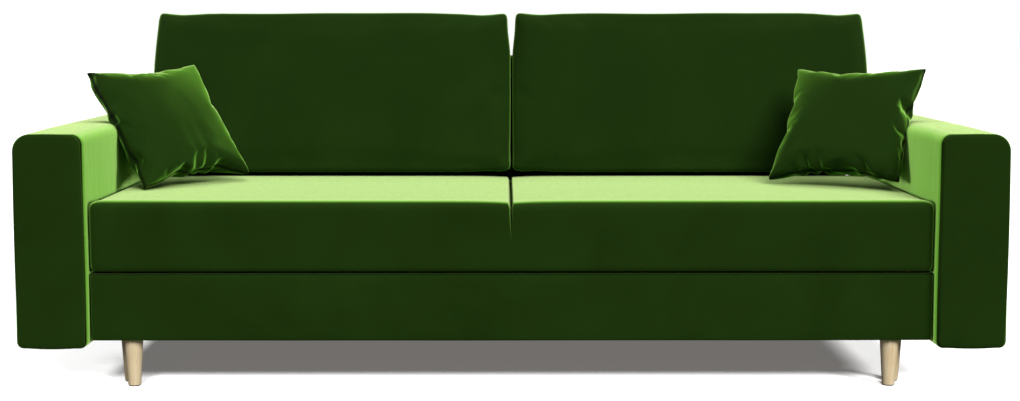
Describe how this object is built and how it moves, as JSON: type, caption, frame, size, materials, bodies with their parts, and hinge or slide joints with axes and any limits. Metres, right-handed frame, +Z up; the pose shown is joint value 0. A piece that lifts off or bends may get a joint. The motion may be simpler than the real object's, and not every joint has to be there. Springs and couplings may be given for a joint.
{
  "type": "sofa bed",
  "caption": "Three-seat upholstered sofa bed with slab arms, pull-out seat, folding backrest, loose back cushions, throw pillows and turned legs.",
  "frame": {"origin": "on the floor under the middle of the sofa", "axes": "+X across the sofa, to the right as seen from the front, -Y towards the front, +Z up"},
  "size_m": [2.3, 1, 0.8769],
  "materials": {
    "velvet": "short-pile deep green upholstery velvet over wadding",
    "velvet_over_foam": "short-pile deep green velvet over a foam block",
    "velvet_over_fibre": "short-pile deep green velvet cover filled with foam and fibre",
    "pine": "planed pine",
    "chipboard": "raw chipboard",
    "hardboard": "smooth brown hardboard",
    "beech": "turned beech, satin clear lacquer",
    "zinc_plated_steel": "zinc plated",
    "spring_steel": "bright wire",
    "nylon": "natural moulded nylon",
    "felt": "pressed felt"
  },
  "bodies": {
    "sofa_frame": {"arm_frame_left": "pine", "arm_frame_right": "pine", "arm_cover_left": "velvet", "arm_cover_right": "velvet", "arm_front_panel_left": "velvet", "arm_front_panel_right": "velvet", "arm_bolts": "zinc_plated_steel", "side_board_left": "chipboard", "side_board_right": "chipboard", "rear_board": "chipboard", "rear_cover": "velvet", "front_cross_rail": "pine", "rear_cross_rail": "pine", "box_floor": "hardboard", "track_left": "zinc_plated_steel", "track_right": "zinc_plated_steel", "track_screws": "zinc_plated_steel", "middle_leg_left": "beech", "middle_leg_right": "beech", "rear_leg_left": "beech", "rear_leg_right": "beech", "frame_leg_plates": "zinc_plated_steel", "frame_leg_bolts": "zinc_plated_steel", "frame_leg_glides": "felt"},
    "pull_out_seat": {"seat_frame": "pine", "seat_springs": "spring_steel", "seat_cushion": "velvet_over_foam", "front_panel_board": "chipboard", "front_panel_cover": "velvet", "front_rail": "pine", "seat_cheek_left": "chipboard", "seat_cheek_right": "chipboard", "guide_plate_left": "zinc_plated_steel", "guide_plate_right": "zinc_plated_steel", "front_leg_left": "beech", "front_leg_right": "beech", "front_leg_plates": "zinc_plated_steel", "front_leg_bolts": "zinc_plated_steel", "front_leg_glides": "felt", "roller_axles": "zinc_plated_steel"},
    "rollers": {"rollers": "nylon"},
    "hinge_slider": {"hinge_pins": "zinc_plated_steel"},
    "backrest": {"backrest_frame": "pine", "backrest_upholstery": "velvet_over_foam", "backrest_rear_panel": "velvet", "hinge_bushes": "nylon"},
    "back_cushion_left": {"back_cushion_left": "velvet_over_fibre"},
    "back_cushion_right": {"back_cushion_right": "velvet_over_fibre"},
    "throw_pillow_left": {"throw_pillow_left": "velvet_over_fibre"},
    "throw_pillow_right": {"throw_pillow_right": "velvet_over_fibre"}
  },
  "joints": [
    {"name": "seat_pull_out", "type": "slide", "parent": "sofa_frame", "child": "pull_out_seat", "axis": [0, -1, 0], "range_m": [0, 0.4]},
    {"name": "roller_spin", "type": "hinge", "parent": "pull_out_seat", "child": "rollers", "pos_m": [0, 0.19977, 0.1822], "axis": [1, 0, 0], "range_deg": [0, 1147]},
    {"name": "backrest_rise", "type": "slide", "parent": "pull_out_seat", "child": "hinge_slider", "axis": [0, 0, 1], "range_m": [0, 0.1875]},
    {"name": "backrest_fold", "type": "hinge", "parent": "hinge_slider", "child": "backrest", "pos_m": [0, 0.32969, 0.207], "axis": [-1, 0, 0], "range_deg": [0, 78]},
    {"name": "back_cushion_left_lift_off", "type": "slide", "parent": "pull_out_seat", "child": "back_cushion_left", "axis": [0, 0.2079, 0.9781], "range_m": [0, 0.5]},
    {"name": "back_cushion_right_lift_off", "type": "slide", "parent": "pull_out_seat", "child": "back_cushion_right", "axis": [0, 0.2079, 0.9781], "range_m": [0, 0.5]},
    {"name": "throw_pillow_left_lift_off", "type": "slide", "parent": "pull_out_seat", "child": "throw_pillow_left", "axis": [0, 0, 1], "range_m": [0, 0.5]},
    {"name": "throw_pillow_right_lift_off", "type": "slide", "parent": "pull_out_seat", "child": "throw_pillow_right", "axis": [0, 0, 1], "range_m": [0, 0.5]}
  ],
  "couplings": [
    {"joint": "roller_spin", "follows": "seat_pull_out", "rad_per_m": 50},
    {"joint": "backrest_rise", "follows": "backrest_fold", "m_per_rad": 0.13773}
  ]
}
